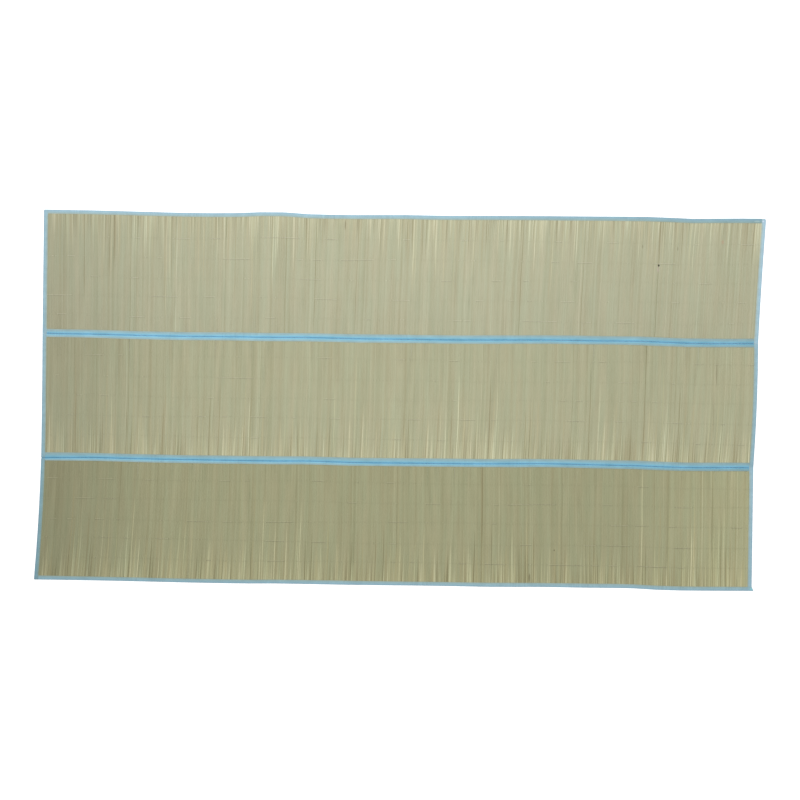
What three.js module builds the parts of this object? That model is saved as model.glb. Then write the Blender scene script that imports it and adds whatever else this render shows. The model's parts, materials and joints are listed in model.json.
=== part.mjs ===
// A fold-up beach mat, laid open and flat: three panels of woven rush, each bound round its rim with
// folded blue tape, and set edge to edge so that the two middle seams can fold.
// Sizes are in millimetres. X runs along the mat, Y across it and Z up, with the ground at Z = 0.
// The origin is on the ground, under the middle of the mat.

import * as THREE from 'three';

// Each panel before it is laid: a is the distance from its left end, b from its front edge
const panelLength = 1800;
const panelWidth = 310;

// The rush mat: thinner where the tape nips it, and off the ground there by the tape under it
const rushThickness = 2.4;
const rushNipped = 1.8;
const rushLift = 0.8;
const flatFrom = 27;

// The tape, folded over the rim of the rush
const tapeThickness = 0.5;
const tapeReach = 10;
const tapeHeight = 3.4;
const tapeFoldChamfer = 0.5;
const tapeTail = 4.5;

// Clearances between the pieces
const rimClearance = 0.6;
const seamClearance = 0.3;
const cornerClearance = 0.3;

// How finely the pieces follow the outline
const lengthSteps = 30;
const widthSteps = 5;
const creaseHalfWidth = 13;
const creaseHeight = 1.1;

const colours = { rush: 0xaeac84, tape: 0x8dbccb };

// The four long lines of the mat, as they lie: the back edge, the two seams and the front edge.
// Each row gives their Y where they pass that X.
const longLines = [
  { x: -915, back: 466.5, backSeam: 156.9, frontSeam: -154.0, front: -463.4 },
  { x: -780, back: 466.2, backSeam: 156.5, frontSeam: -153.9, front: -463.5 },
  { x: -660, back: 464.6, backSeam: 154.1, frontSeam: -155.2, front: -464.4 },
  { x: -540, back: 463.2, backSeam: 153.7, frontSeam: -156.2, front: -465.7 },
  { x: -420, back: 464.4, backSeam: 153.9, frontSeam: -156.2, front: -466.3 },
  { x: -360, back: 467.4, backSeam: 153.8, frontSeam: -156.1, front: -466.1 },
  { x: -300, back: 468.1, backSeam: 154.1, frontSeam: -155.8, front: -465.2 },
  { x: -240, back: 464.3, backSeam: 154.7, frontSeam: -155.1, front: -465.5 },
  { x: -120, back: 463.5, backSeam: 153.4, frontSeam: -157.1, front: -466.1 },
  { x: 0, back: 465.2, backSeam: 153.8, frontSeam: -156.5, front: -465.9 },
  { x: 120, back: 464.8, backSeam: 153.7, frontSeam: -156.3, front: -465.7 },
  { x: 240, back: 466.3, backSeam: 155.2, frontSeam: -155.7, front: -466.5 },
  { x: 360, back: 467.4, backSeam: 157.0, frontSeam: -153.9, front: -464.9 },
  { x: 480, back: 468.0, backSeam: 156.8, frontSeam: -154.6, front: -465.3 },
  { x: 600, back: 468.9, backSeam: 157.0, frontSeam: -155.3, front: -465.2 },
  { x: 660, back: 467.9, backSeam: 155.1, frontSeam: -157.2, front: -468.5 },
  { x: 720, back: 465.4, backSeam: 153.5, frontSeam: -158.3, front: -469.0 },
  { x: 840, back: 467.6, backSeam: 154.5, frontSeam: -156.9, front: -468.1 },
  { x: 915, back: 468.0, backSeam: 155.5, frontSeam: -156.5, front: -467.5 },
];

// Where each of those lines starts and stops, in X
const lineEnds = {
  back: { left: -901.0, right: 914.0 },
  backSeam: { left: -900.5, right: 898.0 },
  frontSeam: { left: -899.8, right: 890.2 },
  front: { left: -914.0, right: 890.0 },
};

// The panels, each between two of the lines. The bows are how far, in X, the middle of each end
// lies off the straight line between its corners. Creases are distances from the left end.
const panels = [
  { name: 'back', from: 'backSeam', to: 'back', leftBow: 0, rightBow: -1, creases: [713, 1352] },
  { name: 'middle', from: 'frontSeam', to: 'backSeam', leftBow: 0.5, rightBow: 2.8, creases: [931, 1338] },
  { name: 'front', from: 'front', to: 'frontSeam', leftBow: 2.3, rightBow: 0, creases: [904] },
];

const { lerp, smoothstep, clamp } = THREE.MathUtils;

// The Y of a long line at x, on a smooth curve through its rows
function lineAt(line, x) {
  const last = longLines.length - 1;
  const next = clamp(longLines.findIndex((row) => row.x >= x), 1, last);
  const rows = [next - 2, next - 1, next, next + 1].map((i) => longLines[clamp(i, 0, last)]);
  const share = clamp((x - rows[1].x) / (rows[2].x - rows[1].x), 0, 1);
  const span = rows[2].x - rows[1].x;
  const slopeAt = (before, after) => (after[line] - before[line]) / (after.x - before.x) * span;
  const startSlope = slopeAt(rows[0], rows[2]);
  const endSlope = slopeAt(rows[1], rows[3]);
  const rise = rows[2][line] - rows[1][line];
  const bend = (startSlope * (1 - share) - endSlope * share + rise * (2 * share - 1)) * share * (1 - share);
  return rows[1][line] + rise * share + bend;
}

// Where the point a, b of a panel lies on the mat
function laid(panel, a, b) {
  const across = b / panelWidth;
  const bow = 4 * across * (1 - across);
  const from = lineEnds[panel.from];
  const to = lineEnds[panel.to];
  const left = lerp(from.left, to.left, across) + panel.leftBow * bow;
  const right = lerp(from.right, to.right, across) + panel.rightBow * bow;
  const x = lerp(left, right, a / panelLength);
  return { x, y: lerp(lineAt(panel.from, x), lineAt(panel.to, x), across) };
}

// Moves a geometry made in a, b and height onto the mat
function layDown(panel, geometry) {
  const position = geometry.attributes.position;
  for (let i = 0; i < position.count; i++) {
    const { x, y } = laid(panel, position.getX(i), position.getY(i));
    position.setXY(i, x, y);
  }
  geometry.computeVertexNormals();
  return geometry;
}

// The height of a panel's soft creases, which run with the straws and die out at the tape
function creaseLift(panel, a, inFromRim) {
  const tents = panel.creases.map((at) => Math.max(0, 1 - Math.abs(a - at) / creaseHalfWidth));
  return creaseHeight * Math.max(...tents) * smoothstep(inFromRim, tapeReach, 2 * flatFrom);
}

// Evenly spaced places along a side, with the nipped rim at both ends and any creases between
function placesAlong(side, steps, creases) {
  const rim = [tapeThickness + rimClearance, tapeReach + rimClearance, flatFrom];
  const even = Array.from({ length: steps - 1 }, (_, i) => side * (i + 1) / steps)
    .filter((at) => creases.every((crease) => Math.abs(at - crease) > 1.5 * creaseHalfWidth));
  const folded = creases.flatMap((at) => [at - creaseHalfWidth, at, at + creaseHalfWidth]);
  const all = [...rim, ...even, ...folded, ...rim.map((inset) => side - inset)];
  return all.sort((one, other) => one - other);
}

// One panel of rush, from a box whose grid is moved to the places above
function rushPanel(panel) {
  const columns = placesAlong(panelLength, lengthSteps, panel.creases);
  const rows = placesAlong(panelWidth, widthSteps, []);
  const geometry = new THREE.BoxGeometry(1, 1, 1, columns.length - 1, rows.length - 1, 1);
  const position = geometry.attributes.position;
  for (let i = 0; i < position.count; i++) {
    const a = columns[Math.round((position.getX(i) + 0.5) * (columns.length - 1))];
    const b = rows[Math.round((position.getY(i) + 0.5) * (rows.length - 1))];
    const inFromRim = Math.min(a, panelLength - a, b, panelWidth - b);
    const open = smoothstep(inFromRim, tapeReach + rimClearance, flatFrom);
    const underside = lerp(rushLift, 0, open) + creaseLift(panel, a, inFromRim);
    const thickness = lerp(rushNipped, rushThickness, open);
    position.setXYZ(i, a, b, underside + (position.getZ(i) > 0 ? thickness : 0));
  }
  return layDown(panel, geometry);
}

// The folded tape's section: inward is +1 where the rush lies towards larger values, or -1
function tapeSection(rim, inward) {
  const point = (inset, height) => new THREE.Vector2(rim + inward * inset, height);
  return new THREE.Shape([
    point(tapeFoldChamfer, 0),
    point(tapeReach, 0),
    point(tapeReach, tapeThickness),
    point(tapeThickness, tapeThickness),
    point(tapeThickness, tapeHeight - tapeThickness),
    point(tapeReach, tapeHeight - tapeThickness),
    point(tapeReach, tapeHeight),
    point(tapeFoldChamfer, tapeHeight),
    point(0, tapeHeight - tapeFoldChamfer),
    point(0, tapeFoldChamfer),
  ]);
}

// A tape along one long edge of a panel, over its whole length
function longBinding(panel, rim, inward, tail = 0) {
  const settings = { depth: panelLength, steps: lengthSteps, bevelEnabled: false };
  const geometry = new THREE.ExtrudeGeometry(tapeSection(rim, inward), settings);
  const position = geometry.attributes.position;
  for (let i = 0; i < position.count; i++) {
    const [b, height, a] = [position.getX(i), position.getY(i), position.getZ(i)];
    position.setXYZ(i, a === panelLength ? a + tail : a, b, height);
  }
  return layDown(panel, geometry);
}

// A tape along one short end of a panel, between its two long tapes
function endBinding(panel, rim, inward) {
  const inset = tapeReach + cornerClearance;
  const settings = { depth: panelWidth - 2 * inset, steps: widthSteps, bevelEnabled: false };
  const geometry = new THREE.ExtrudeGeometry(tapeSection(rim, inward), settings);
  geometry.rotateX(Math.PI / 2);
  geometry.translate(0, panelWidth - inset, 0);
  return layDown(panel, geometry);
}

// The inset of a long tape's fold from its line: half of the seam's clearance, or none at the outside
function foldInset(line) {
  return line.endsWith('Seam') ? seamClearance / 2 : 0;
}

const materials = {
  rush: new THREE.MeshStandardMaterial({ color: colours.rush, roughness: 0.8, metalness: 0 }),
  tape: new THREE.MeshStandardMaterial({ color: colours.tape, roughness: 0.75, metalness: 0 }),
};

const mat = new THREE.Group();

function addPiece(name, geometry, material) {
  const piece = new THREE.Mesh(geometry, material);
  piece.name = name;
  mat.add(piece);
}

for (const panel of panels) {
  const tail = panel.from === 'front' ? tapeTail : 0;
  const frontFold = foldInset(panel.from);
  const backFold = panelWidth - foldInset(panel.to);
  addPiece(`${panel.name}_panel_rush`, rushPanel(panel), materials.rush);
  addPiece(`${panel.name}_panel_tape_front`, longBinding(panel, frontFold, 1, tail), materials.tape);
  addPiece(`${panel.name}_panel_tape_back`, longBinding(panel, backFold, -1), materials.tape);
  addPiece(`${panel.name}_panel_tape_left`, endBinding(panel, 0, 1), materials.tape);
  addPiece(`${panel.name}_panel_tape_right`, endBinding(panel, panelLength, -1), materials.tape);
}

export default mat;
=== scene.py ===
import json
import math

import bpy
import numpy as np
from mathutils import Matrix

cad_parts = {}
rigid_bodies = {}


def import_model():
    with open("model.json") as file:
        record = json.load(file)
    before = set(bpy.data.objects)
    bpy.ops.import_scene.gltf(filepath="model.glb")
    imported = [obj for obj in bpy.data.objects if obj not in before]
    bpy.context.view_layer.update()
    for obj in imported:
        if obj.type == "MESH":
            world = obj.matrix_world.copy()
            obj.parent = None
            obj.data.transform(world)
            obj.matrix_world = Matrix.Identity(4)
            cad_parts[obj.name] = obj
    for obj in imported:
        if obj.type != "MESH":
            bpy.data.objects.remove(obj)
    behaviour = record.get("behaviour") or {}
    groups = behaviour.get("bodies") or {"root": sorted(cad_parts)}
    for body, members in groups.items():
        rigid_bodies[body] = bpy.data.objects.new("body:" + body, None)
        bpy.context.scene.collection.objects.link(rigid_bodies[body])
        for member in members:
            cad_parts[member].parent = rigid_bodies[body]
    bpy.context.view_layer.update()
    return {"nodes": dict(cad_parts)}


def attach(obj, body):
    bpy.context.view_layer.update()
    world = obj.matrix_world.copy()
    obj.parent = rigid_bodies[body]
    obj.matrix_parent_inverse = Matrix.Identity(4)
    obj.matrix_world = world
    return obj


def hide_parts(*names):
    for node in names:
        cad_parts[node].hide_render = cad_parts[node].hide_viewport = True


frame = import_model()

mm = 0.001
scene = bpy.context.scene

# the mat before it is laid out, all three panels alike
panelSize = {
    "length": 1800 * mm,
    "width": 310 * mm,
    "tail": 4.5 * mm,        # the front tape runs this far past the right end
    "stationGap": 10 * mm,   # the frame's outline points lie further apart than this
}

# the rush as it lies: on the ground, and lifted where the tape is folded under it
rushHeight = {
    "middle": 1.2 * mm,      # the middle of the straws over the ground
    "rim": 1.72 * mm,        # the same inside the tape
    "heldTo": 10.6 * mm,     # from the rim
    "flatFrom": 27 * mm,
    "crease": 1.1 * mm,
    "creaseHalfWidth": 13 * mm,
}

# what differs from panel to panel
# places are mm from the left end, leans are degrees at even places from left to right
panelLooks = {
    "back": {
        "seed": 11,
        "butts": "back",     # the edge where the thick ends of the straws lie
        "buttAmount": 0.65,  # how much of their colour the thick ends keep
        "tint": (0.962, 0.96, 0.97),
        "ends": (0.93, 1.05),  # how pale the left and right ends are beside the rest
        # painted light: how pale the thin ends of the straws are beside the thick ones, so that each panel
        # is paler towards its back edge
        "tipPaintedLight": 0.955,         # how pale the thin ends of the straws are beside the thick ones
        "creases": (713, 1352),
        "leans": (-0.5, -0.2, -0.5, 0.5, -0.2, 0.3, 0.1, 0.3),
        # the dark straw at 1352 paints the shade line along the crease there, and the pale one at 1346 its
        # lit side; the other marked straws differ in their own tone
        "darkStraws": (608, 1198, 1352, 1540),
        "paleStraws": (334, 499, 1126, 1346),
        "warpShift": -9 * mm,
    },
    "middle": {
        "seed": 23,
        "butts": "front",
        "buttAmount": 0.72,
        "tint": (0.876, 0.872, 0.84),
        "ends": (0.88, 1.07),
        "tipPaintedLight": 1.01,
        "creases": (931, 1338),
        "leans": (0.0, 0.6, 0.6, 0.2, 0.4, 0.4, 0.0, 0.8),
        # the dark straw at 1336 paints the shade line along the crease at 1338; the others differ in their
        # own tone
        "darkStraws": (218, 1336, 1519, 1595),
        "paleStraws": (96, 211, 547, 1105),
        "warpShift": 1 * mm,
    },
    "front": {
        "seed": 37,
        "butts": "front",
        "buttAmount": 0.85,
        "tint": (0.75, 0.744, 0.658),
        "ends": (0.83, 1.22),
        "tipPaintedLight": 1.01,
        "creases": (904,),
        "leans": (0.4, 0.6, -0.5, -0.9, -1.0, -1.4, -0.6, -0.1),
        # the dark straw at 904 paints the shade line along the crease there; the others differ in their own
        # tone
        "darkStraws": (568, 904, 1119, 1669, 1699),
        "paleStraws": (1162, 1673, 1734, 1762),
        "warpShift": 2 * mm,
    },
}

# small stains and dark slivers: place in mm from the left end and the front edge, size across and
# along the straws
stains = (
    {"panel": "back", "at": (1540, 190), "size": (5.2, 6), "colour": (44, 40, 36), "amount": 0.95},
    {"panel": "back", "at": (1539, 180), "size": (5, 16), "colour": (190, 170, 168), "amount": 0.35},
    {"panel": "back", "at": (752, 285), "size": (3.2, 27), "colour": (112, 106, 78), "amount": 0.6},
    {"panel": "back", "at": (1696, 252), "size": (7, 12), "colour": (178, 140, 118), "amount": 0.35},
    {"panel": "back", "at": (1497, 236), "size": (2.6, 12), "colour": (112, 106, 80), "amount": 0.5},
    {"panel": "back", "at": (1585, 234), "size": (2.6, 11), "colour": (104, 100, 76), "amount": 0.5},
    {"panel": "middle", "at": (1697, 235), "size": (3.2, 70), "colour": (116, 110, 86), "amount": 0.5},
    {"panel": "middle", "at": (1692, 130), "size": (4, 110), "colour": (134, 130, 104), "amount": 0.35},
    {"panel": "front", "at": (1302, 92), "size": (3.4, 5), "colour": (84, 72, 52), "amount": 0.7},
    {"panel": "front", "at": (1242, 22), "size": (5, 26), "colour": (104, 92, 66), "amount": 0.5},
)


# where things lie

def smoothstep(value, low, high):
    share = np.clip((value - low) / (high - low), 0, 1)
    return share * share * (3 - 2 * share)


# the fold of one of the frame's tapes seen from above: its outermost point at each station
def foldLine(node, along, outward):
    mesh = frame["nodes"][node].data
    points = np.empty(len(mesh.vertices) * 3)
    mesh.vertices.foreach_get("co", points)
    points = points.reshape(-1, 3)
    points = points[np.argsort(points[:, along])]
    breaks = np.flatnonzero(np.diff(points[:, along]) > panelSize["stationGap"]) + 1
    stations = np.split(points, breaks)
    return np.array([s[np.argmax(outward * s[:, 1 - along])][:2] for s in stations])


# the four edges of a panel as the frame has them
def panelOutline(panel):
    front = foldLine(f"{panel}_panel_tape_front", 0, -1)
    back = foldLine(f"{panel}_panel_tape_back", 0, 1)
    if panel == "front":
        front[-1, 0] -= panelSize["tail"]
    ends = {}
    for end, outward, corner in (("left", -1, 0), ("right", 1, -1)):
        middle = foldLine(f"{panel}_panel_tape_{end}", 1, outward)
        inset = (panelSize["width"] - (middle[-1, 1] - middle[0, 1])) / 2
        inset = inset / panelSize["width"]
        share = np.concatenate([[0], np.linspace(inset, 1 - inset, len(middle)), [1]])
        ends[end] = (share, np.vstack([front[corner], middle, back[corner]]))
    return {"front": front, "back": back, **ends}


outlines = {panel: panelOutline(panel) for panel in panelLooks}


# x and y of a point a from the left end and b from the front edge, between the four edges
def lay(panel, a, b):
    edges = outlines[panel]
    s = np.asarray(a) / panelSize["length"]
    t = np.asarray(b) / panelSize["width"]
    s, t = np.broadcast_arrays(s, t)
    laid = []
    for axis in (0, 1):
        shares = np.linspace(0, 1, len(edges["front"]))
        front = np.interp(s, shares, edges["front"][:, axis])
        back = np.interp(s, shares, edges["back"][:, axis])
        left = np.interp(t, edges["left"][0], edges["left"][1][:, axis])
        right = np.interp(t, edges["right"][0], edges["right"][1][:, axis])
        corners = [edges[e][c, axis] for e in ("front", "back") for c in (0, -1)]
        inside = np.clip(t, 0, 1)
        straightLeft = corners[0] + (corners[2] - corners[0]) * inside
        straightRight = corners[1] + (corners[3] - corners[1]) * inside
        place = (1 - t) * front + t * back
        place = place + (1 - s) * (left - straightLeft) + s * (right - straightRight)
        laid.append(place)
    # past the ends the edges run on straight
    over = (np.maximum(0, s - 1) + np.minimum(0, s)) * panelSize["length"]
    return laid[0] + over, laid[1]


# height of the middle of the rush sheet
def strawLevel(panel, a, b):
    length, width = panelSize["length"], panelSize["width"]
    fromRim = np.minimum(np.minimum(a, length - a), np.minimum(b, width - b))
    free = smoothstep(fromRim, rushHeight["heldTo"], rushHeight["flatFrom"])
    level = rushHeight["rim"] + (rushHeight["middle"] - rushHeight["rim"]) * free
    half = rushHeight["creaseHalfWidth"]
    tents = [np.maximum(0, 1 - np.abs(a - at * mm) / half) for at in panelLooks[panel]["creases"]]
    fade = smoothstep(fromRim, rushHeight["heldTo"], 2 * rushHeight["flatFrom"])
    return level + rushHeight["crease"] * np.max(tents, axis=0) * fade


# smooth noise between about -1 and 1 along a length
def slowNoise(rng, count, knots):
    knots = max(4, int(knots))
    coarse = np.interp(np.linspace(0, 1, count), np.linspace(0, 1, knots), rng.uniform(-1, 1, knots))
    kernel = np.hanning(max(3, 2 * (count // knots) + 1))
    padded = np.pad(coarse, len(kernel) // 2, mode="edge")
    return np.convolve(padded, kernel / kernel.sum(), "valid")[:count]


# seams

# seams by name: the panel at the back of each and the one at its front
seamPanels = {"back_seam": ("back", "middle"), "front_seam": ("middle", "front")}

# the two folds of a seam at places in mm from the left end: how many mm they lie behind the line
# between the panels, and how pale they are beside the rest of the tape, which is painted shade and
# light that sets how dark the valley between them looks
seamFolds = {
    "wander": 0.7 * mm,      # the folds drift together by up to this much
    "bends": 16,             # in the wander, from end to end
    "wanderSeed": 900,
    "mottling": 0.16,        # how uneven their shade is
    "mottles": 70,
    "mottlingSeed": 950,
    "stations": 361,
    "fade": 40 * mm,         # both die out towards the ends of the mat
    "back_seam": {
        "at": (0, 500, 900, 1000, 1270, 1400, 1800),
        "drift": (-1.1, -1.1, -1.1, -1.1, -1.2, -1.2, -1.2),
        "shade": (1.03, 1.02, 0.95, 0.88, 0.88, 0.98, 1.0),
    },
    "front_seam": {
        "at": (0, 60, 140, 1100, 1800),
        "drift": (-3.9, -3.3, -1.6, -1.8, -1.7),
        "shade": (0.88, 0.92, 1.05, 1.05, 1.15),
    },
}


def seamOf(panel, side):
    for seam, (behind, before) in seamPanels.items():
        if (panel, side) in ((behind, "front"), (before, "back")):
            return seam
    return None


def alongSeam(seam, key, a):
    folds = seamFolds[seam]
    return np.interp(a, np.array(folds["at"]) * mm, folds[key])


# uneven values along a seam, between about -1 and 1
def seamNoise(seam, seed, knots, a):
    rng = np.random.default_rng(seed + list(seamPanels).index(seam))
    length, stations = panelSize["length"], seamFolds["stations"]
    even = np.linspace(0, length, stations)
    fade = smoothstep(np.minimum(even, length - even), 0, seamFolds["fade"])
    return np.interp(a, even, fade * slowNoise(rng, stations, knots))


# how far the folds of a seam lie from its line, towards the back
def seamDrift(seam, a):
    noise = seamNoise(seam, seamFolds["wanderSeed"], seamFolds["bends"], a)
    return alongSeam(seam, "drift", a) * mm + seamFolds["wander"] * noise


# painted shade on the folds of a seam, for the valley between them: how pale they are beside the rest of
# the tape
def seamFoldPaintedShade(seam, a):
    noise = seamNoise(seam, seamFolds["mottlingSeed"], seamFolds["mottles"], a)
    return alongSeam(seam, "shade", a) * (1 + seamFolds["mottling"] * noise)


# mesh helpers

# six times the volume of the first tube, positive where its faces look outward
def signedVolume(rings):
    tube = rings[0] - rings[0].mean((0, 1))
    here, ahead = tube[:-1], tube[1:]
    corner = np.roll(here, -1, 1)
    far = np.roll(ahead, -1, 1)
    return float((here * np.cross(corner, far)).sum() + (here * np.cross(far, ahead)).sum())


# one mesh of many closed tubes: rings is (tube, section, side, xyz), values are (tube, section, side)
# or the same with a vector at the end, and strips is how the tubes lie in the bake map
def ringMesh(name, rings, strips, values=None):
    values = values or {}
    if signedVolume(rings) < 0:
        rings = rings[:, :, ::-1]
        values = {key: value[:, :, ::-1] for key, value in values.items()}
    tubes, sections, sides, _ = rings.shape
    index = np.arange(tubes * sections * sides).reshape(tubes, sections, sides)
    here, ahead = index[:, :-1], index[:, 1:]
    quads = np.stack([here, np.roll(here, -1, 2), np.roll(ahead, -1, 2), ahead], -1).reshape(-1, 4)
    caps = np.concatenate([index[:, 0, ::-1], index[:, -1]])
    mesh = bpy.data.meshes.new(name)
    mesh.from_pydata(rings.reshape(-1, 3).tolist(), [], quads.tolist() + caps.tolist())
    for key, value in values.items():
        kind, field = ("FLOAT", "value") if value.ndim == 3 else ("FLOAT_VECTOR", "vector")
        attribute = mesh.attributes.new(key, kind, "POINT")
        attribute.data.foreach_set(field, value.astype(np.float32).ravel())
    mesh.polygons.foreach_set("use_smooth", [True] * len(mesh.polygons))
    addBakeMap(mesh, tubes, sections - 1, sides, **strips)
    return mesh


# lays the tubes out as strips, side by side in columns, each cut every so many segments
def addBakeMap(mesh, tubes, segments, sides, columns, cut=None, gap=0.1):
    cut = cut or segments
    counts = (np.arange(tubes), np.arange(segments), np.arange(sides))
    tube, segment, side = np.meshgrid(*counts, indexing="ij")
    strip = tube * math.ceil(segments / cut) + segment // cut
    rows = math.ceil((strip.max() + 1) / columns)
    along = (segment % cut)[..., None] + np.array([0, 0, 1, 1])
    around = side[..., None] + np.array([0, 1, 1, 0])
    u = (strip // rows)[..., None] + 0.01 + 0.98 * along / cut
    v = (strip % rows)[..., None] + gap + (1 - 2 * gap) * (1 - around / sides)
    sideMap = np.stack([u / columns, v / rows], -1).reshape(-1, 2)
    # the caps are a few square millimetres, and lie folded flat at the start of a strip
    first = np.stack([u[:, 0, 0, 0] / columns, v[:, 0, 0, 0] / rows], -1)
    capMap = np.repeat(np.concatenate([first, first]), sides, axis=0)
    layer = mesh.uv_layers.new(name="OFBake")
    layer.data.foreach_set("uv", np.concatenate([sideMap, capMap]).astype(np.float32).ravel())


def addPiece(name, mesh, material, replaced=()):
    piece = bpy.data.objects.new(name, mesh)
    mesh.materials.append(material)
    scene.collection.objects.link(piece)
    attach(piece, "root")
    if replaced:
        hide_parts(*replaced)
    return piece


# the angles of the corners round a tube
def ringAngles(sides):
    return 2 * math.pi * (np.arange(sides) + 0.5) / sides + math.pi / 2


# a round thread along a path, for each of several paths: a, b and z are (thread, section)
# sideways is the way in which the thread is thick, "b" for one that runs along the mat
def threadRings(panel, a, b, z, radius, sides, sideways="b"):
    angle = ringAngles(sides)
    radius = np.broadcast_to(radius, a.shape)[..., None]
    thick = radius * np.cos(angle)
    ringA = a[..., None] + (thick if sideways == "a" else 0 * thick)
    ringB = b[..., None] + (thick if sideways == "b" else 0 * thick)
    # a thread on the underside stays a hair above the ground
    ringZ = np.maximum(z[..., None] + radius * np.sin(angle), 0.02 * mm)
    x, y = lay(panel, ringA, ringB)
    return np.stack([x, y, ringZ], -1)


# rush

straw = {
    "count": 900,            # in each panel
    "overlap": 1.2,          # how much wider than its share of the length
    "widthSpread": 0.15,     # as a share of the width
    "narrowest": 0.6,        # also as a share of it
    "widest": 1.5,
    "flatness": 0.68,        # height over width
    "mostHeight": 1.74 * mm,
    "buttWidth": 1.06,       # thick end over the average
    "tipWidth": 0.94,
    "sides": 7,
    "lean": 0.2 * mm,        # sideways from one end to the other
    "leanFrom": 60 * mm,     # only straws this far from the mat's ends lean fully
    "wander": 0.5 * mm,      # sideways waves, much alike among neighbours
    "wanderFrom": 4 * mm,
    "waves": 1.5,            # from end to end
    "waveSpread": 0.8,
    "buttLift": 0.26 * mm,   # up and down, so that neighbours take turns on top
    "tipLift": 0.12 * mm,
    "heldLift": 0.2,         # the share of the lift that is left at the rim
    "buttShare": 0.45,       # the share of the straw over which the butt's lift dies out
    "rimInset": 1.1 * mm,
    "slopeAt": 18 * mm,      # a section between the tape and where the rush lies flat
    "flatSections": 3,
    "toneSpread": 0.06,
    "kin": (0.16, 0.68, 0.16),  # how alike neighbours are
    "handful": 7,            # straws that look alike
    "bendAlike": 14,         # straws that bend alike
    "markedTone": 0.26,      # how far the marked straws stand out
    "buttLength": 40 * mm,   # average stretch that keeps the colour of the butt
    "buttAlike": 0.6,        # how alike that stretch is within a handful
    "handfulHue": 0.24,      # how far the butts' hues differ between handfuls
    "strawHue": 0.3,         # and between straws
    "endReach": 350 * mm,    # stretch at each end of the mat where the straws differ from the rest
}


# places along each straw, which ends inside the tape also where a seam has drifted over it
def strawSections(panel, middle):
    width, flatFrom = panelSize["width"], rushHeight["flatFrom"]
    rim = [straw["rimInset"], rushHeight["heldTo"], straw["slopeAt"], flatFrom]
    inner = np.linspace(flatFrom, width - flatFrom, straw["flatSections"] + 2)[1:-1]
    sections = np.array(rim + list(inner) + [width - r for r in reversed(rim)])
    b = np.tile(sections, (len(middle), 1))
    if seamOf(panel, "front"):
        b[:, 0] += np.maximum(0, seamDrift(seamOf(panel, "front"), middle))
    if seamOf(panel, "back"):
        b[:, -1] += np.minimum(0, seamDrift(seamOf(panel, "back"), middle))
    return b


# the straws of a panel before they are shaped: where each lies, and what it looks like
def strawBed(panel):
    look = panelLooks[panel]
    rng = np.random.default_rng(look["seed"])
    count = straw["count"]
    wide = 1 + straw["widthSpread"] * rng.standard_normal(count)
    wide = np.clip(wide, straw["narrowest"], straw["widest"])
    room = panelSize["length"] - 2 * straw["rimInset"]
    wide = wide * room / wide.sum()
    middle = straw["rimInset"] + np.cumsum(wide) - wide / 2
    # neighbours are a little alike in tone
    kin = np.array(straw["kin"])
    tone = np.convolve(rng.standard_normal(count), kin / np.sqrt((kin ** 2).sum()), "same")
    tone = 0.5 + straw["toneSpread"] * tone
    # marked straws: some lie at a crease and are painted shade and light for it, the rest differ in their
    # own tone
    for places, change in ((look["darkStraws"], -1), (look["paleStraws"], 1)):
        for at in places:
            tone[np.argmin(np.abs(middle - at * mm))] += change * straw["markedTone"]
    # what the straws of one handful share
    handful, reach = (slowNoise(rng, count, count / straw["handful"]) for _ in range(2))
    bend, turn = (slowNoise(rng, count, count / straw["bendAlike"]) for _ in range(2))
    shade = np.ones(count)
    for change, fromEnd in zip(look["ends"], (middle, panelSize["length"] - middle)):
        shade += (change - 1) * (1 - smoothstep(fromEnd, 0, straw["endReach"]))
    # each wave is how many there are from end to end, and where the first one starts
    return {
        "shade": shade,
        "middle": middle,
        "wide": wide * straw["overlap"],
        "tone": tone,
        "lean": rng.uniform(-1, 1, count) * straw["lean"] / panelSize["width"],
        "wave": np.stack([straw["waves"] + straw["waveSpread"] * bend, straw["waveSpread"] * turn], -1),
        "liftWave": rng.uniform((0.5, 0), (2.0, 1), (count, 2)),
        "buttLength": (rng.exponential(1, count) + straw["buttAlike"] * reach) * straw["buttLength"],
        "buttHue": buttHue(handful, rng.standard_normal(count)),
    }


# 0 for the darkest butts to 1 for the palest
def buttHue(handful, own):
    return np.clip(0.5 + straw["handfulHue"] * handful + straw["strawHue"] * own, 0, 1)


def fromButts(panel, b):
    return b if panelLooks[panel]["butts"] == "front" else panelSize["width"] - b


# middle line, height and width of each straw where it passes b, which is (straw, section)
def strawPath(panel, bed, b):
    width, length = panelSize["width"], panelSize["length"]
    share = b / width
    middle = bed["middle"][:, None]
    fromEnd = np.minimum(middle, length - middle)
    leans = panelLooks[panel]["leans"]
    leanPlaces = (np.arange(len(leans)) + 0.5) / len(leans) * length
    leaning = np.tan(np.radians(np.interp(middle, leanPlaces, leans)))
    leaning = leaning * smoothstep(fromEnd, 0, straw["leanFrom"]) + bed["lean"][:, None]
    wander = straw["wander"] * np.sin(2 * math.pi * (bed["wave"][:, :1] * share + bed["wave"][:, 1:]))
    wander = wander * smoothstep(fromEnd, 0, straw["wanderFrom"])
    a = middle + leaning * (b - width / 2) + wander
    butt = 1 - smoothstep(fromButts(panel, b), 0, straw["buttShare"] * width)
    lift = straw["tipLift"] + (straw["buttLift"] - straw["tipLift"]) * butt
    lift = lift * np.sin(2 * math.pi * (bed["liftWave"][:, :1] * share + bed["liftWave"][:, 1:]))
    free = smoothstep(np.minimum(b, width - b), 0, rushHeight["flatFrom"])
    lift = lift * (straw["heldLift"] + (1 - straw["heldLift"]) * free)
    z = strawLevel(panel, middle, b) + lift
    taper = straw["tipWidth"] + (straw["buttWidth"] - straw["tipWidth"]) * (1 - fromButts(panel, b) / width)
    return a, z, bed["wide"][:, None] * taper


def strawHeight(wide):
    return np.minimum(wide * straw["flatness"], straw["mostHeight"])


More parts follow.
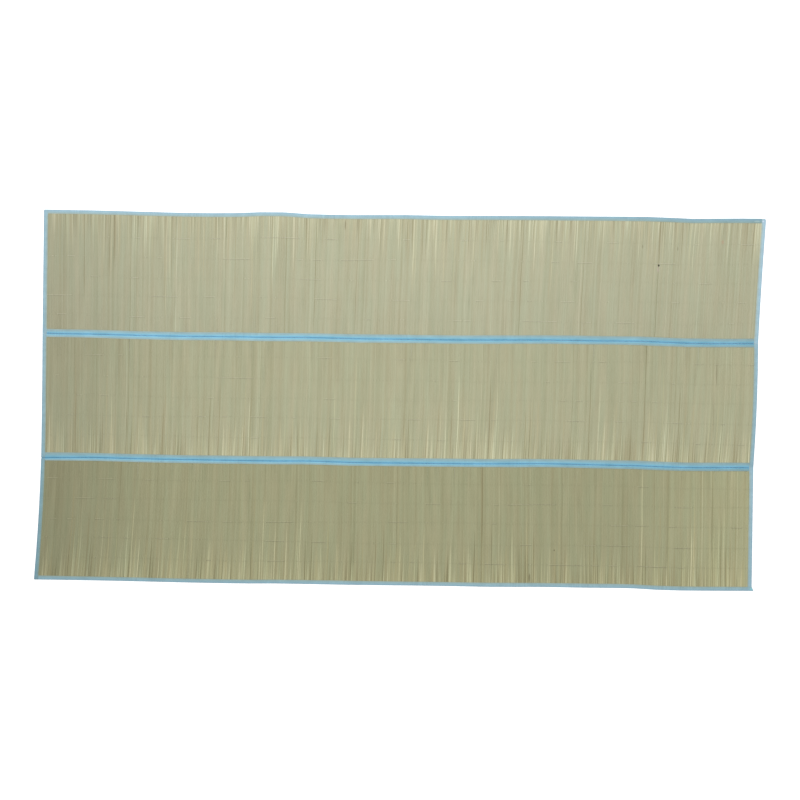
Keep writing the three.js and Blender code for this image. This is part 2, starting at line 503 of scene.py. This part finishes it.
def makeStraws(panel, bed, material):
    count, sides = straw["count"], straw["sides"]
    b = strawSections(panel, bed["middle"])
    a, z, wide = strawPath(panel, bed, b)
    angle = ringAngles(sides)
    ringA = a[..., None] + wide[..., None] / 2 * np.cos(angle)
    ringB = np.broadcast_to(b[..., None], ringA.shape)
    ringZ = z[..., None] + strawHeight(wide)[..., None] / 2 * np.sin(angle)
    x, y = lay(panel, ringA, ringB)

    def spread(values):
        return np.broadcast_to(values[:, None, None], ringA.shape)

    turn = np.broadcast_to(angle / (2 * math.pi), ringA.shape)
    nature = np.stack([spread(bed["tone"]), spread(bed["buttLength"] / mm), spread(bed["buttHue"])], -1)
    place = np.stack([spread(np.arange(count) * 3.7), fromButts(panel, ringB) / mm, turn * 5.5], -1)
    rings = np.stack([x, y, ringZ], -1)
    fromThick = fromButts(panel, ringB) / panelSize["width"]
    # the thin ends' painted light makes each panel paler towards its back edge
    shade = spread(bed["shade"]) * (1 + (panelLooks[panel]["tipPaintedLight"] - 1) * fromThick)
    values = {"strawNature": nature, "strawPlace": place, "strawShade": shade}
    mesh = ringMesh(f"{panel}_straws", rings, {"columns": 4}, values)
    piece = addPiece(f"{panel}_straws", mesh, material, [f"{panel}_panel_rush"])


warp = {
    "rows": 5,
    "pitch": 50 * mm,        # between rows of thread
    "radius": 0.28 * mm,
    "sides": 4,
    "pick": 2,               # straws that a thread passes over or under at a time
    "seed": 500,
    "wander": 3.5 * mm,      # how far a row strays
    "bends": 9,              # in the wander, from end to end
    "apart": 0.2 * mm,       # the two threads of a row, from its middle
    "bite": 0.12 * mm,       # how far a thread sinks into the straws
    "looseStretch": 9,       # straws
    "looseFrom": 0.2,        # of the noise
    "looseTo": 0.55,
    "looseApart": 0.35 * mm,
    "looseRadius": 0.36 * mm,
    "looseRise": 0.8,        # loose threads lie this high, 1 being on top of the straws
    "looseSteep": 2.4,       # how quickly they come up
}


# each row is a pair of threads that take turns over and under the straws, drawn tight for the most
# part, with loose stretches where the paler thread and the painted shade under it stand out
def makeWarp(panel, bed, material):
    rng = np.random.default_rng(panelLooks[panel]["seed"] + warp["seed"])
    count = straw["count"]
    pick = np.arange(count) // warp["pick"]
    paths = []
    for row in range(warp["rows"]):
        at = panelSize["width"] / 2 + (row - (warp["rows"] - 1) / 2) * warp["pitch"]
        at = at + panelLooks[panel]["warpShift"] + warp["wander"] * slowNoise(rng, count, warp["bends"])
        loose = slowNoise(rng, count, count / warp["looseStretch"])
        loose = smoothstep(loose, warp["looseFrom"], warp["looseTo"])
        a, z, wide = strawPath(panel, bed, at[:, None])
        radius = warp["radius"] + (warp["looseRadius"] - warp["radius"]) * loose
        apart = warp["apart"] + (warp["looseApart"] - warp["apart"]) * loose
        reach = strawHeight(wide)[:, 0] / 2 + radius - warp["bite"]
        for side in (1, -1):
            upper = np.where((pick + row) % 2 == 0, side, -side)
            upper = np.maximum(upper, warp["looseRise"] - warp["looseSteep"] * (1 - loose))
            # the lower thread of a loose stretch gets a value below 0, painted as the shade under the upper
            # one
            paths.append((a[:, 0], at + side * apart, z[:, 0] + upper * reach, radius, side * loose))
    a, b, z, radius, shown = (np.array(p) for p in zip(*paths))
    rings = threadRings(panel, a, b, z, radius, warp["sides"])
    values = {"threadShown": np.broadcast_to(shown[..., None], rings.shape[:3])}
    mesh = ringMesh(f"{panel}_warp_threads", rings, {"columns": 2, "cut": 90}, values)
    addPiece(f"{panel}_warp_threads", mesh, material)


# tape

tape = {
    "reach": 10 * mm,        # from the fold to the cut edge
    "height": 3.4 * mm,
    "thickness": 0.45 * mm,
    "edgeHeight": 3.05 * mm,  # top of the cut edge, where it lies on the straws
    "edgeWaver": 0.45 * mm,  # the cut edge isn't quite straight
    "pucker": 0.12 * mm,
    "innermost": 4.2 * mm,   # the tape's last flat place before the round of the fold
    "foldSections": 7,
    "step": 8 * mm,
    "stop": 1.6 * mm,        # the long tapes stop this far short of the ends, inside the end tapes
    "tuck": 5 * mm,          # at the tail, the end tape runs this far under the long one
    "ride": 0.3 * mm,        # the end tapes' cut edges stand higher where they lie on the long ones
    "crossFade": 6 * mm,     # past a crossing the tape takes this long to lie as it did
    "tailFrom": 14 * mm,     # the tail flares from here
    "seamGap": 0.02 * mm,
    "endGap": 0.05 * mm,     # an end tape stops this far short of its panel's edge
    "covering": 0.35,        # how much less straw shows through where tape lies on tape
    "foldAngle": 50,         # degrees, past which an edge of the tape is sharp
    "longCut": 39,           # segments to a strip of the bake map
    "endCut": 15,
}

# the mat's outer corners, and how far each is rounded along the mat and across it
corners = {
    ("back", "left"): (1.5 * mm, 1.5 * mm),
    ("back", "right"): (6 * mm, 4 * mm),
    ("front", "left"): (2.5 * mm, 2.5 * mm),
}

# painted light on each tape: how pale it is from its left end to its right one or from the front to the
# back, as the light falls unevenly over the mat
paintedTapeLight = {
    ("back", "back"): (1.13, 0.86),
    ("back", "front"): (0.99, 0.86),
    ("back", "left"): (1.0, 1.09),
    ("back", "right"): (1.12, 1.27),
    ("middle", "back"): (1.04, 0.86),
    ("middle", "front"): (0.88, 0.86),
    ("middle", "left"): (0.87, 1.03),
    ("middle", "right"): (0.93, 1.03),
    ("front", "back"): (1.0, 0.8),
    ("front", "front"): (0.87, 0.95),
    ("front", "left"): (0.7, 0.83),
    ("front", "right"): (1.0, 1.08),
}

# how far an end tape stops short of its panel's edges, where that shows
shortEnds = {
    ("middle", "left", "front"): 1 * mm,
    ("front", "left", "back"): 1 * mm,
}

stitch = {
    "inset": 7.7 * mm,       # from the fold
    "groove": 0.14 * mm,     # the tape is drawn down along the row
    "grooveSide": 0.9 * mm,  # from the row to the side of the groove
    "fromCrossing": 0.6 * mm,  # a row stops this far short of a tape that crosses it
    "fromEnd": 1 * mm,
    "fromTail": 2 * mm,
    "pitch": 3.2 * mm,
    "radius": 0.2 * mm,
    "rise": 0.1 * mm,        # middle of a stitch over the tape
    "dip": 0.3 * mm,         # at the needle holes, under the tape's face
    "sides": 3,
}

joining = {
    "pitch": 2.2 * mm,       # one zigzag
    "reach": 1.3 * mm,       # either side of the seam
    "radius": 0.26 * mm,
    "height": 3.2 * mm,
    "sides": 4,
    "fromCrossing": 1 * mm,
}


# how far the tape's upper face lies over the ground, from the round of the fold to the cut edge
def tapeTop(inset, reach, edgeHeight):
    radius = tape["height"] / 2
    leg = np.clip((inset - radius) / (reach - radius), 0, 1)
    return tape["height"] + (edgeHeight - tape["height"]) * leg ** 1.5


# section of the folded tape as (inset, height): round the outside, and back inside
# where it lies under another tape it is pressed flatter by that one's thickness, above and below
def tapeRing(reach, edgeHeight, pressed=0.0):
    radius, thick = tape["height"] / 2, tape["thickness"]
    row, side = stitch["inset"], stitch["grooveSide"]
    insets = np.array([reach, row + side, row, row - side, tape["innermost"]])
    groove = np.array([0, 0.3, 1, 0.3, 0]) * stitch["groove"]
    upper = np.stack([insets, tapeTop(insets, reach, edgeHeight) - groove], -1)
    lower = np.stack([insets, groove], -1)[::-1]
    turn = np.radians(np.linspace(90, 270, tape["foldSections"]))
    arc = np.stack([np.cos(turn), np.sin(turn)], -1)
    fold = radius + radius * arc
    innerFold = radius + (radius - thick) * arc
    inside = np.vstack([upper - [0, thick], innerFold, lower + [0, thick]])
    ring = np.vstack([upper, fold, lower, inside[::-1]])
    ring[:, 1] = radius + (ring[:, 1] - radius) * (1 - pressed / radius)
    return ring


# the sections along a tape, drawn in from the edge by shift at the fold and by nothing at the cut edge
def tapeRings(reach, edge, pressed, shift):
    rings = np.array([tapeRing(*each) for each in zip(reach, edge, pressed)])
    fromFold = rings[:, :, 0] / reach[:, None]
    rings[:, :, 0] += shift[:, None] * (1 - fromFold)
    return rings, fromFold


# 1 where a tape lies under or over one that crosses it, to 0 a little way off
def crossing(fromEnd):
    return 1 - smoothstep(fromEnd, tape["reach"], tape["reach"] + tape["crossFade"])


# how far a rounded corner draws in the outline, at this distance from the corner
def rounding(distance, run, depth):
    near = np.clip(1 - distance / run, 0, 1)
    return depth * (1 - np.sqrt(1 - near ** 2))


# added to a panel's seed
tapeSeeds = {"front": 61, "back": 67, "left": 71, "right": 73}


# how a tape's cut edge strays and puckers along it
def tapeNoise(panel, where, stations):
    rng = np.random.default_rng(panelLooks[panel]["seed"] + tapeSeeds[where])
    waver = tape["edgeWaver"] * slowNoise(rng, stations, stations / 6)
    pucker = tape["pucker"] * slowNoise(rng, stations, stations / 2)
    return waver, pucker


# over is 1 where tape lies on tape, so that less straw shows through its cut edge
# the last argument is the painted shade of a seam's fold, for the valley between two folds, which is lost a
# few mm from it
def addTape(panel, where, x, y, rings, fromFold, over, cut, material, foldPaintedShade):
    # the tape's painted light along it, with the painted shade of a seam's fold
    start, stop = paintedTapeLight[panel, where]
    shade = np.linspace(start, stop, len(rings))[:, None]
    # a seam's fold is painted darker or paler, which fades towards the cut edge
    shade = shade * (1 + (foldPaintedShade[:, None] - 1) * (1 - fromFold) ** 3)
    shown = fromFold * (1 - tape["covering"] * over[:, None])
    values = {"tapeFold": shown[None], "paintedTapeShade": shade[None]}
    strips = {"columns": 1, "cut": cut, "gap": 0.02}
    mesh = ringMesh(f"{panel}_tape_{where}", np.stack([x, y, rings[:, :, 1]], -1)[None], strips, values)
    mesh.set_sharp_from_angle(angle=math.radians(tape["foldAngle"]))
    piece = addPiece(f"{panel}_tape_{where}", mesh, material, [f"{panel}_panel_tape_{where}"])


def addStitches(panel, where, a, b, tops, bottoms, material):
    long = where in ("front", "back")
    a, b = np.stack([a, a]), np.stack([b, b])
    z = np.stack([tops, bottoms])
    rings = threadRings(panel, a, b, z, stitch["radius"], stitch["sides"], "b" if long else "a")
    strips = {"columns": 2, "cut": 57 if long else 29}
    mesh = ringMesh(f"{panel}_stitches_{where}", rings, strips)
    addPiece(f"{panel}_stitches_{where}", mesh, material)


# places along a row of stitches, and the height of the thread over the tape's face
def stitchRow(start, stop):
    count = int((stop - start) / stitch["pitch"])
    # the needle hole, and the two ends of the stitch between it and the next
    phase = np.array([0.0, 0.2, 0.8])
    at = (np.arange(count)[:, None] + phase).ravel() / count * (stop - start) + start
    height = np.tile([-stitch["dip"], stitch["rise"], stitch["rise"]], count)
    return at, height


# the end tapes cross over these, all but at the right end of the front one, whose tail sticks out
def makeLongTape(panel, side, material, sewing):
    length, width = panelSize["length"], panelSize["width"]
    tail = panelSize["tail"] if (panel, side) == ("front", "front") else 0
    last = length if tail else length - tape["stop"]
    stations = int(length / tape["step"])
    even = np.linspace(tape["stop"], last, stations)
    nearEnds = np.array([0.7, 1.6, 2.8, 4.4]) * mm
    a = np.sort(np.concatenate([even, tape["stop"] + nearEnds, last - nearEnds]))
    waver, pucker = (np.interp(a, even, noise) for noise in tapeNoise(panel, side, stations))
    seam = seamOf(panel, side)
    # painted shade for the valley of a seam, along it
    foldPaintedShade = seamFoldPaintedShade(seam, a) if seam else np.ones(len(a))
    if seam:
        drift = seamDrift(seam, a)
        shift = tape["seamGap"] + (drift if side == "front" else -drift)
    else:
        shift = np.zeros(len(a))
        for end, fromEnd in (("left", a), ("right", length - a)):
            if (panel, end) in corners:
                shift += rounding(fromEnd, *corners[panel, end])
    reach, edge = tape["reach"] + waver, tape["edgeHeight"] + pucker
    pressed = tape["thickness"] * crossing(a if tail else np.minimum(a, length - a))
    rings, fromFold = tapeRings(reach, edge, pressed, shift)
    inset = rings[:, :, 0]
    # the tail sticks out furthest at the fold
    flare = tail * (1 - fromFold) * smoothstep(a, length - tape["tailFrom"], length)[:, None]
    x, y = lay(panel, a[:, None] + flare, inset if side == "front" else width - inset)
    over = crossing(length - a) if tail else np.zeros(len(a))
    addTape(panel, side, x, y, rings, fromFold, over, tape["longCut"], material, foldPaintedShade)

    clear = tape["reach"] + stitch["fromCrossing"]
    row, height = stitchRow(clear, length - (stitch["fromTail"] if tail else clear))
    share = 1 - stitch["inset"] / tape["reach"]
    rowInset = stitch["inset"] + share * np.interp(row, a, shift)
    top = np.interp(row, a, tapeTop(stitch["inset"], reach, edge) - pressed)
    top = top - stitch["groove"] + height
    bottom = stitch["groove"] - height + np.interp(row, a, pressed)
    b = rowInset if side == "front" else width - rowInset
    addStitches(panel, side, row, b, top, bottom, sewing)


def makeEndTape(panel, end, material, sewing):
    length, width = panelSize["length"], panelSize["width"]
    underTail = (panel, end) == ("front", "right")
    first = shortEnds.get((panel, end, "front"), tape["endGap"])
    if underTail:
        first = tape["reach"] - tape["tuck"]
    last = width - shortEnds.get((panel, end, "back"), tape["endGap"])
    corner = 0 if end == "left" else length
    if seamOf(panel, "front"):
        first += seamDrift(seamOf(panel, "front"), corner)
    if seamOf(panel, "back"):
        last += seamDrift(seamOf(panel, "back"), corner)
    stations = int(width / tape["step"])
    even = np.linspace(first, last, stations)
    nearEnds = np.array([0.7, 1.8, 3.4]) * mm
    b = np.sort(np.concatenate([even, first + nearEnds, last - nearEnds]))
    waver, pucker = (np.interp(b, even, noise) for noise in tapeNoise(panel, end, stations))
    over = crossing(width - b if underTail else np.minimum(b, width - b))
    pressed = tape["thickness"] * crossing(b) if underTail else np.zeros(len(b))
    run, depth = corners.get((panel, end), (0, 0))
    shift = np.zeros(len(b))
    if run:
        shift += rounding(b if panel == "front" else width - b, depth, run)
    reach, edge = tape["reach"] + waver, tape["edgeHeight"] + pucker + tape["ride"] * over
    rings, fromFold = tapeRings(reach, edge, pressed, shift)
    inset = rings[:, :, 0]
    x, y = lay(panel, inset if end == "left" else length - inset, b[:, None])
    addTape(panel, end, x, y, rings, fromFold, over, tape["endCut"], material, np.ones(len(b)))

    start = tape["reach"] + stitch["fromCrossing"] if underTail else first + stitch["fromEnd"]
    row, height = stitchRow(start, last - stitch["fromEnd"])
    top = np.interp(row, b, tapeTop(stitch["inset"], reach, edge) - pressed)
    top = top - stitch["groove"] + height
    a = np.full(len(row), stitch["inset"] if end == "left" else length - stitch["inset"])
    addStitches(panel, end, a, row, top, stitch["groove"] - height, sewing)


# the zigzag that joins the folds of two panels
def makeJoining(seam, material):
    behind = seamPanels[seam][0]
    length = panelSize["length"]
    count = 2 * int(length / joining["pitch"])
    clear = tape["reach"] + joining["fromCrossing"]
    a = np.linspace(clear, length - clear, count)
    side = np.where(np.arange(count) % 2 == 0, 1, -1)
    b = seamDrift(seam, a) + side * joining["reach"]
    z = np.full(count, joining["height"])
    rings = threadRings(behind, a[None], b[None], z[None], joining["radius"], joining["sides"])
    mesh = ringMesh(f"{seam}_joining", rings, {"columns": 1, "cut": 53})
    addPiece(f"{seam}_joining", mesh, material)


# materials

# short ways to add and join shader nodes
class Nodes:

    def __init__(self, name):
        self.material = bpy.data.materials.new(name)
        self.material.use_nodes = True
        self.tree = self.material.node_tree
        self.shader = self.tree.nodes["Principled BSDF"]

    def add(self, kind, inputs=None, **settings):
        node = self.tree.nodes.new(kind)
        for key, value in settings.items():
            setattr(node, key, value)
        for key, value in (inputs or {}).items():
            if isinstance(value, bpy.types.NodeSocket):
                self.tree.links.new(value, node.inputs[key])
            else:
                node.inputs[key].default_value = value
        return node

    def attribute(self, name):
        return self.add("ShaderNodeAttribute", attribute_name=name)

    def apart(self, vector):
        return self.add("ShaderNodeSeparateXYZ", {"Vector": vector}).outputs

    def noise(self, vector, scale, detail=2.0, rough=0.5):
        inputs = {"Vector": vector, "Scale": scale, "Detail": detail, "Roughness": rough}
        return self.add("ShaderNodeTexNoise", inputs).outputs["Fac"]

    def scaled(self, vector, scale, place=(0, 0, 0)):
        inputs = {"Vector": vector, "Scale": scale, "Location": place}
        return self.add("ShaderNodeMapping", inputs).outputs["Vector"]

    def math(self, operation, first, second=0.0, third=0.0):
        inputs = {0: first, 1: second, 2: third}
        return self.add("ShaderNodeMath", inputs, operation=operation).outputs[0]

    # a value with a noise of 0 to 1 added to it, as much down as up
    def uneven(self, value, noise, amount):
        return self.math("MULTIPLY_ADD", self.math("SUBTRACT", noise, 0.5), amount, value)

    def spread(self, value, low, high, toLow=0.0, toHigh=1.0, smooth=False):
        inputs = {"Value": value, "From Min": low, "From Max": high, "To Min": toLow, "To Max": toHigh}
        kind = "SMOOTHSTEP" if smooth else "LINEAR"
        return self.add("ShaderNodeMapRange", inputs, interpolation_type=kind).outputs["Result"]

    def ramp(self, value, stops):
        node = self.add("ShaderNodeValToRGB", {"Fac": value})
        elements = node.color_ramp.elements
        while len(elements) < len(stops):
            elements.new(0.5)
        for element, (at, colour) in zip(elements, stops):
            element.position = at
            element.color = (*linear(colour), 1)
        return node.outputs["Color"]

    def mix(self, factor, first, second, blend="MIX"):
        inputs = {0: factor, 6: first, 7: second}
        return self.add("ShaderNodeMix", inputs, data_type="RGBA", blend_type=blend).outputs[2]

    def shaded(self, colour, shade):
        inputs = {0: colour, "Scale": shade}
        return self.add("ShaderNodeVectorMath", inputs, operation="SCALE").outputs["Vector"]

    def bump(self, height, distance, strength=1.0, under=None):
        inputs = {"Height": height, "Distance": distance, "Strength": strength}
        if under is not None:
            inputs["Normal"] = under
        return self.add("ShaderNodeBump", inputs).outputs["Normal"]

    def surface(self, values):
        for key, value in values.items():
            self.shader.inputs[key].default_value = value

    def finish(self, colour, normal, roughness=None):
        self.tree.links.new(colour, self.shader.inputs["Base Color"])
        self.tree.links.new(normal, self.shader.inputs["Normal"])
        if roughness is not None:
            self.tree.links.new(roughness, self.shader.inputs["Roughness"])
        return self.material


# an sRGB colour of 0 to 255 as the renderer's linear one
def linear(colour):
    shares = [c / 255 for c in colour]
    return [s / 12.92 if s <= 0.04045 else ((s + 0.055) / 1.055) ** 2.4 for s in shares]


rushColours = {
    "dark": (136, 132, 103),
    "green": (159, 158, 131),
    "middle": (165, 165, 139),
    "straw": (170, 170, 144),
    "pale": (186, 187, 161),
    "buttDark": (137, 132, 102),
    "buttWarm": (163, 158, 129),
    "buttYellow": (177, 175, 144),
    "buttPale": (202, 202, 173),
    "warm": (1.018, 0.99, 0.985),  # handfuls lean to one of these two
    "cool": (0.982, 1.006, 1.008),
}


def rushMaterial(panel):
    c = rushColours
    n = Nodes(f"rush_{panel}")
    nature = n.apart(n.attribute("strawNature").outputs["Vector"])
    place = n.attribute("strawPlace").outputs["Vector"]
    fromButt = n.apart(place)[1]
    patches = n.noise(n.scaled(place, (1, 0.02, 0)), 1.0, 2.0)
    bundles = n.noise(n.scaled(place, (0.02, 0.004, 0)), 1.0, 1.0)
    fine = n.noise(n.scaled(place, (1, 0.06, 2.2)), 1.0, 3.0, 0.6)
    own = nature[0]
    for noise, amount in ((patches, 0.2), (bundles, 0.22), (fine, 0.28)):
        own = n.uneven(own, noise, amount)
    stops = [(0.0, c["dark"]), (0.35, c["green"]), (0.5, c["middle"]), (0.65, c["straw"]), (1.0, c["pale"])]
    colour = n.ramp(own, stops)
    # the butts keep more of their own colour, some for longer than others
    left = n.math("SUBTRACT", nature[1], fromButt)
    kept = n.math("MULTIPLY", n.spread(left, -50.0, 40.0, smooth=True), panelLooks[panel]["buttAmount"])
    hues = [(0.0, c["buttDark"]), (0.25, c["buttWarm"]), (0.6, c["buttYellow"]), (1.0, c["buttPale"])]
    colour = n.mix(kept, colour, n.ramp(nature[2], hues))
    warmth = n.spread(n.noise(n.scaled(place, (0.035, 0.006, 0), (7, 0, 0)), 1.0, 2.0), 0.35, 0.65)
    leaning = n.mix(warmth, (*c["cool"], 1), (*c["warm"], 1))
    colour = n.mix(1.0, colour, leaning, "MULTIPLY")
    place3d = n.add("ShaderNodeTexCoord").outputs["Object"]
    for mark in (s for s in stains if s["panel"] == panel):
        colour = stained(n, colour, place3d, mark)
    colour = n.mix(1.0, colour, (*panelLooks[panel]["tint"], 1), "MULTIPLY")
    colour = n.shaded(colour, n.attribute("strawShade").outputs["Fac"])
    fibres = n.noise(n.scaled(place, (1, 0.05, 9.0)), 1.0, 2.0)
    normal = n.bump(fibres, 0.12 * mm, 0.4)
    roughness = n.spread(fine, 0.3, 0.7, 0.66, 0.82)
    n.surface({"Specular IOR Level": 0.12})
    return n.finish(colour, normal, roughness)


# a soft-edged spot of another colour on the straws
def stained(n, colour, place, mark):
    x, y = lay(mark["panel"], mark["at"][0] * mm, mark["at"][1] * mm)
    across, along = (2 / (size * mm) for size in mark["size"])
    scale = (across, along, 0)
    spot = n.scaled(place, scale, (-float(x) * across, -float(y) * along, 0))
    far = n.add("ShaderNodeVectorMath", {0: spot}, operation="LENGTH").outputs["Value"]
    amount = n.math("MULTIPLY", n.spread(far, 1.2, 0.5, smooth=True), mark["amount"])
    return n.mix(amount, colour, (*linear(mark["colour"]), 1))


# from the painted shade under a loose stretch, past the tight ones, which have taken on the colour of the
# straw, to the loose thread itself
threadColours = {0.0: (104, 102, 80), 0.45: (166, 166, 139), 0.55: (172, 171, 143), 1.0: (218, 215, 188)}


def threadMaterial(panel):
    n = Nodes(f"warp_thread_{panel}")
    place = n.add("ShaderNodeTexCoord").outputs["Object"]
    fuzz = n.noise(n.scaled(place, (900, 300, 300)), 1.0, 2.0)
    # values below 0 are the painted shade under a loose stretch
    shown = n.uneven(n.attribute("threadShown").outputs["Fac"], fuzz, 0.2)
    shown = n.spread(shown, -1.0, 1.0)
    colour = n.ramp(shown, threadColours.items())
    colour = n.mix(1.0, colour, (*panelLooks[panel]["tint"], 1), "MULTIPLY")
    n.surface({"Roughness": 0.8})
    return n.finish(colour, n.bump(fuzz, 0.1 * mm, 0.5))


# from the fold, a deeper blue that is partly painted shade where the fold turns away and, at a seam, in the
# valley between two folds, to the cut edge, where the straw shows through the loose threads
tapeColours = {
    "seam": ((96, 165, 200), (116, 167, 187), (127, 165, 177), (134, 160, 164), (143, 160, 155)),
    "rim": ((126, 160, 177), (132, 163, 176), (134, 163, 172), (137, 160, 160), (144, 157, 148)),
    "unevenness": 0.11,
    "weave": 0.55 * mm,
    "deepening": 0.35,
}

# spots where the tape is paler or darker, given as the stains are
tapeMarks = {
    "seam": (),
    "rim": (
        {"panel": "back", "at": (1793, 304), "size": (5, 4), "colour": (208, 214, 234), "amount": 0.6},
        {"panel": "back", "at": (1778, 304), "size": (16, 5), "colour": (176, 196, 192), "amount": 0.3},
        {"panel": "middle", "at": (5, -2), "size": (9, 4), "colour": (92, 136, 152), "amount": 0.7},
        {"panel": "front", "at": (1799, 4), "size": (10, 8), "colour": (120, 190, 200), "amount": 0.5},
    ),
}


def tapeMaterial(kind):
    n = Nodes(f"blue_tape_{kind}")
    place = n.add("ShaderNodeTexCoord").outputs["Object"]
    fromFold = n.attribute("tapeFold").outputs["Fac"]
    colour = n.ramp(fromFold, [(k / 4, c) for k, c in enumerate(tapeColours[kind])])
    pitch = 2 * math.pi / tapeColours["weave"]
    apart = n.apart(place)
    warpWave = n.math("SINE", n.math("MULTIPLY", apart["X"], pitch))
    weftWave = n.math("SINE", n.math("MULTIPLY", apart["Y"], pitch))
    weave = n.math("MULTIPLY", warpWave, weftWave)
    blotch = n.noise(n.scaled(place, (35, 90, 60)), 1.0, 3.0)
    fuzz = n.noise(n.scaled(place, (700, 700, 700)), 1.0, 2.0)
    mixed = n.math("MULTIPLY_ADD", fuzz, 0.25, n.math("MULTIPLY", blotch, 0.75))
    mixed = n.math("MULTIPLY_ADD", weave, 0.1, mixed)
    # here and there the straws tell through the cloth
    ribs = n.math("SUBTRACT", n.noise(n.scaled(place, (300, 14, 0)), 1.0, 1.0), 0.5)
    telling = n.spread(n.noise(n.scaled(place, (8, 8, 0)), 1.0, 1.0), 0.45, 0.65, 0.1, 1.0)
    mixed = n.math("MULTIPLY_ADD", ribs, n.math("MULTIPLY", telling, 0.9), mixed)
    uneven = tapeColours["unevenness"]
    shade = n.spread(mixed, 0.25, 0.75, 1 - uneven, 1 + uneven)
    # painted light along the tape, and painted shade on the seams' folds
    along = n.attribute("paintedTapeShade").outputs["Fac"]
    colour = n.shaded(colour, n.math("MULTIPLY", shade, along))
    # where the painted light is darker, the tape is painted a deeper blue as well
    red = n.math("POWER", along, tapeColours["deepening"])
    deeper = n.add("ShaderNodeCombineXYZ", {"X": red, "Y": 1.0, "Z": 1.0}).outputs["Vector"]
    colour = n.mix(1.0, colour, deeper, "MULTIPLY")
    place2d = n.scaled(place, (1, 1, 0))
    for mark in tapeMarks[kind]:
        colour = stained(n, colour, place2d, mark)
    creases = n.noise(n.scaled(place, (60, 260, 60)), 1.0, 3.0)
    normal = n.bump(weave, 0.08 * mm, 0.5, n.bump(creases, 0.5 * mm, 0.4))
    n.surface({"Specular IOR Level": 0.3, "Sheen Weight": 0.08, "Roughness": 0.7})
    return n.finish(colour, normal)


sewingColours = {
    "stitches": ((116, 158, 176), (150, 184, 194)),
    "joining": ((85, 157, 192), (101, 171, 203)),
}


def sewingMaterial(kind):
    n = Nodes(f"sewing_{kind}")
    place = n.add("ShaderNodeTexCoord").outputs["Object"]
    twist = n.noise(n.scaled(place, (1400, 1400, 1400)), 1.0, 1.0)
    dark, pale = sewingColours[kind]
    n.surface({"Specular IOR Level": 0.15, "Roughness": 0.7})
    return n.finish(n.ramp(twist, [(0.35, dark), (0.65, pale)]), n.bump(twist, 0.1 * mm, 0.5))


# camera, light and ground

view = {
    "width": 2.0113,         # metres of ground across the picture
    "distance": 9.0,
    "roll": 0.78,            # degrees
    "sensor": 36,            # mm
}


def addCamera():
    data = bpy.data.cameras.new("camera")
    data.sensor_width = view["sensor"]
    data.lens = view["sensor"] * view["distance"] / view["width"]
    data.clip_end = 100
    camera = bpy.data.objects.new("camera", data)
    camera.location = (0, 0, view["distance"])
    camera.rotation_euler = (0, 0, math.radians(view["roll"]))
    scene.collection.objects.link(camera)
    scene.camera = camera


studio = {
    "sky": 0.78,
    "softbox": 32,
    "softboxSize": 1.2,
    "softboxPlace": (0.0, 0.5, 2.0),
    "groundSize": 60,
    "groundGlow": 0.2,      # the ground is lit from beneath a little, which keeps it white
}


def addLight(name, power, size, place):
    data = bpy.data.lights.new(name, "AREA")
    data.energy = power
    data.size = size
    light = bpy.data.objects.new(name, data)
    light.location = place
    light.rotation_euler = (-light.location).to_track_quat("-Z", "Y").to_euler()
    scene.collection.objects.link(light)


def addStudio():
    world = bpy.data.worlds.new("studio")
    world.use_nodes = True
    world.node_tree.nodes["Background"].inputs["Color"].default_value = (1, 1, 1, 1)
    world.node_tree.nodes["Background"].inputs["Strength"].default_value = studio["sky"]
    scene.world = world
    addLight("softbox", studio["softbox"], studio["softboxSize"], studio["softboxPlace"])
    bpy.ops.mesh.primitive_plane_add(size=studio["groundSize"])
    ground = bpy.context.object
    ground.name = "ground"
    n = Nodes("pale_ground")
    n.surface({"Base Color": (0.95, 0.95, 0.95, 1), "Roughness": 0.95, "Specular IOR Level": 0.1})
    n.surface({"Emission Color": (1, 1, 1, 1), "Emission Strength": studio["groundGlow"]})
    ground.data.materials.append(n.material)
    scene.view_settings.view_transform = "Standard"


def countTriangles():
    total = 0
    for piece in scene.objects:
        if piece.type == "MESH" and not piece.hide_render and piece.name != "ground":
            count = sum(len(p.vertices) - 2 for p in piece.data.polygons)
            print("triangles", piece.name, count)
            total += count
    print("triangles in all", total)


addCamera()
addStudio()
print("stage: camera, light and ground")

for panel in panelLooks:
    bed = strawBed(panel)
    makeStraws(panel, bed, rushMaterial(panel))
    makeWarp(panel, bed, threadMaterial(panel))
    print("stage: rush of the", panel, "panel")

seamTape = tapeMaterial("seam")
rimTape = tapeMaterial("rim")
sewing = sewingMaterial("stitches")
for panel in panelLooks:
    for side in ("front", "back"):
        makeLongTape(panel, side, seamTape if seamOf(panel, side) else rimTape, sewing)
    for end in ("left", "right"):
        makeEndTape(panel, end, rimTape, sewing)
print("stage: tapes and their stitches")

joiningThread = sewingMaterial("joining")
for seam in seamPanels:
    makeJoining(seam, joiningThread)
print("stage: joined seams")

countTriangles()
